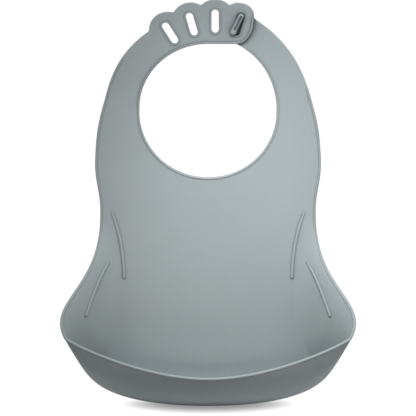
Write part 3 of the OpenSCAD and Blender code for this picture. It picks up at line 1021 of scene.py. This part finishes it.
def stem():
    """A short flat post that flares into the strap below it."""
    around = 48
    turn = (np.arange(around) + 0.5) * 2 * math.pi / around
    rings = []
    for share in np.linspace(0, 1, 9):
        r = STEM_R * (1 + STEM_FLARE * (1 - smooth(0, STEM_FLARE, share)))
        along = STEM_HALF * np.sign(np.sin(turn)) + r * np.sin(turn)
        forward = np.full(around, STEM_LOW + share * (STEM_HIGH - STEM_LOW))
        rings.append(np.stack([r * np.cos(turn), along, forward], axis=1))
    points, faces = tower(rings)
    return turned(points, slot_angles[3], TOGGLE + STEM_SHIFT), faces


def head():
    """A slim half-round button with a groove down its front and a fuller lower end."""
    around = 96
    turn = np.arange(around) * 2 * math.pi / around
    reach = HEAD_HALF - HEAD_R
    rings = []
    for share in np.linspace(0, math.pi, 120)[1:-1]:
        along = -HEAD_HALF * math.cos(share)
        past = max(0.0, abs(along) - reach)
        r = max(math.sqrt(max(HEAD_R ** 2 - past ** 2, 0.0)), 0.2)
        r *= 1 + HEAD_SWELL * float(smooth(SWELL_START, -HEAD_HALF + HEAD_R, along))
        across, forward = r * np.cos(turn), r * np.sin(turn)
        forward = np.where(forward > 0, forward, HEAD_SWELL * forward)
        in_groove = float(smooth(GROOVE_HALF, GROOVE_HALF - GROOVE_END,
                                 abs(along - GROOVE_SHIFT)))
        beside = smooth(GROOVE_R - GROOVE_EASE, GROOVE_R + GROOVE_EASE, np.abs(across))
        cut = GROOVE_DEPTH * in_groove * (1 - beside)
        forward = np.where(forward > 0, forward - cut, forward)
        rings.append(np.stack([across, np.full(around, along), -HEAD_UNDER - forward], axis=1))
    points, faces = tower(rings)
    return turned(points, HEAD_TURN, TOGGLE + HEAD_SHIFT), faces


points, faces = stem()
piece("toggle_stem_skin", points, faces, toggle_shadow_silicone, ("toggle_stem",), body="toggle_side")
points, faces = head()
piece("toggle_head_skin", points, faces, toggle_silicone, ("toggle_head",), body="toggle_side",
      sharp=70)

# ---- stage, light and camera ----

scene.view_settings.view_transform = "Standard"
scene.view_settings.look = "None"


def camera_split(tree, seen, unseen, target):
    """Shows one shader to the camera and lights the object with another."""
    path = tree.nodes.new("ShaderNodeLightPath")
    mix = tree.nodes.new("ShaderNodeMixShader")
    tree.links.new(path.outputs["Is Camera Ray"], mix.inputs["Fac"])
    tree.links.new(unseen.outputs[0], mix.inputs[1])
    tree.links.new(seen.outputs[0], mix.inputs[2])
    tree.links.new(mix.outputs[0], target)


FLOOR_HALF = 40.0            # in metres, so that the floor reaches past the view
FLOOR_GAP = 0.0002
CONTACT_SIZE, CONTACT_SAMPLES = 0.008, 24    # the reach of the floor's painted contact shadow, in metres
CONTACT_RAMP = ((0.05, (0.29, 0.30, 0.30, 1)), (0.35, (0.61, 0.61, 0.61, 1)),
                (0.65, (0.88, 0.88, 0.88, 1)), (0.97, (1.02, 1.02, 1.02, 1)))
FLOOR_GREY = (0.85, 0.85, 0.85, 1)           # what the floor reflects onto the bib
SURROUND_TINT, SURROUND_POWER = (0.96, 0.98, 1.0, 1), 0.60


def staged(name, points):
    """A four-cornered card that belongs to the stage, with a new material."""
    mesh = bpy.data.meshes.new(name)
    mesh.from_pydata(points, [], [(0, 1, 2, 3)])
    card = bpy.data.objects.new(name, mesh)
    scene.collection.objects.link(card)
    material = bpy.data.materials.new(name)
    material.use_nodes = True
    mesh.materials.append(material)
    return card, material.node_tree


def make_floor():
    """A white floor that shows only a painted contact shadow, darker where the bib is near."""
    half, z = FLOOR_HALF, FLOOR_Z * MM - FLOOR_GAP
    _, tree = staged("floor", [(-half, -half, z), (half, -half, z), (half, half, z),
                               (-half, half, z)])
    tree.nodes.clear()
    output = tree.nodes.new("ShaderNodeOutputMaterial")
    near = tree.nodes.new("ShaderNodeAmbientOcclusion")
    near.samples = CONTACT_SAMPLES
    near.inputs["Distance"].default_value = CONTACT_SIZE
    fall = tree.nodes.new("ShaderNodeValToRGB")
    ends = fall.color_ramp.elements
    for element, (position, shade) in zip(ends, (CONTACT_RAMP[0], CONTACT_RAMP[-1])):
        element.position, element.color = position, shade
    for position, shade in CONTACT_RAMP[1:-1]:
        ends.new(position).color = shade
    seen = tree.nodes.new("ShaderNodeEmission")
    tree.links.new(near.outputs["AO"], fall.inputs["Fac"])
    tree.links.new(fall.outputs["Color"], seen.inputs["Color"])
    dim = tree.nodes.new("ShaderNodeBsdfDiffuse")
    dim.inputs["Color"].default_value = FLOOR_GREY
    camera_split(tree, seen, dim, output.inputs["Surface"])


def make_world():
    """A white surround, seen at full strength and shining at a lower one."""
    world = bpy.data.worlds.new("studio")
    scene.world = world
    world.use_nodes = True
    tree = world.node_tree
    tree.nodes.clear()
    output = tree.nodes.new("ShaderNodeOutputWorld")
    white = tree.nodes.new("ShaderNodeBackground")
    white.inputs["Color"].default_value = (1, 1, 1, 1)
    white.inputs["Strength"].default_value = 1.0
    soft = tree.nodes.new("ShaderNodeBackground")
    soft.inputs["Color"].default_value = SURROUND_TINT
    soft.inputs["Strength"].default_value = SURROUND_POWER
    camera_split(tree, white, soft, output.inputs["Surface"])


def spot_light(name, place, aim, half_angle, size, power):
    """A soft lamp that fades towards the edge of its cone. Places and size are in metres."""
    data = bpy.data.lights.new(name, "SPOT")
    data.energy = power
    data.spot_size = 2 * math.radians(half_angle)
    data.spot_blend = 1.0
    data.shadow_soft_size = size
    lamp = bpy.data.objects.new(name, data)
    lamp.location = place
    lamp.rotation_mode = "QUATERNION"
    lamp.rotation_quaternion = (Vector(aim) - Vector(place)).to_track_quat("-Z", "Y")
    lamp.visible_camera = False
    scene.collection.objects.link(lamp)


FLAG_Y, FLAG_HALF = -0.17, 0.3               # in metres
FLAG_LOW, FLAG_HIGH = (FLOOR_Z + 20) * MM, -100 * MM


def make_flag():
    """A low dark card in front, unseen by the camera, keeps the front wall of the pocket dark."""
    card, tree = staged("flag", [(-FLAG_HALF, FLAG_Y, FLAG_LOW), (FLAG_HALF, FLAG_Y, FLAG_LOW),
                                 (FLAG_HALF, FLAG_Y, FLAG_HIGH),
                                 (-FLAG_HALF, FLAG_Y, FLAG_HIGH)])
    card.visible_camera = False
    shader = tree.nodes["Principled BSDF"]
    shader.inputs["Base Color"].default_value = (0.03, 0.03, 0.03, 1)
    shader.inputs["Roughness"].default_value = 1.0


make_floor()
make_world()
make_flag()
spot_light("key", (0.08, -0.45, 0.45), (0.055, 0.0, -0.145), 17, 0.09, 20)
spot_light("fill", (0.0, -0.42, 0.32), (0.0, 0.0, -0.18), 22, 0.10, 4)
spot_light("back", (-0.25, 0.62, 0.30), (0.0, 0.0, -0.08), 20, 0.10, 7)

DISTANCE = 12.0              # in metres; so far that the view is nearly parallel
IMAGE_WIDTH = 0.3212         # width of the view at the bib
SENSOR = 36
aim = Vector((0, 0, -0.0796))
camera_data = bpy.data.cameras.new("camera")
camera_data.sensor_width = SENSOR
camera_data.lens = SENSOR * DISTANCE / IMAGE_WIDTH
camera_data.clip_end = 60
camera = bpy.data.objects.new("camera", camera_data)
away = Vector((0, -math.cos(ELEVATION), math.sin(ELEVATION)))
camera.location = aim + away * DISTANCE
camera.rotation_mode = "QUATERNION"
camera.rotation_quaternion = (-away).to_track_quat("-Z", "Y")
scene.collection.objects.link(camera)
scene.camera = camera
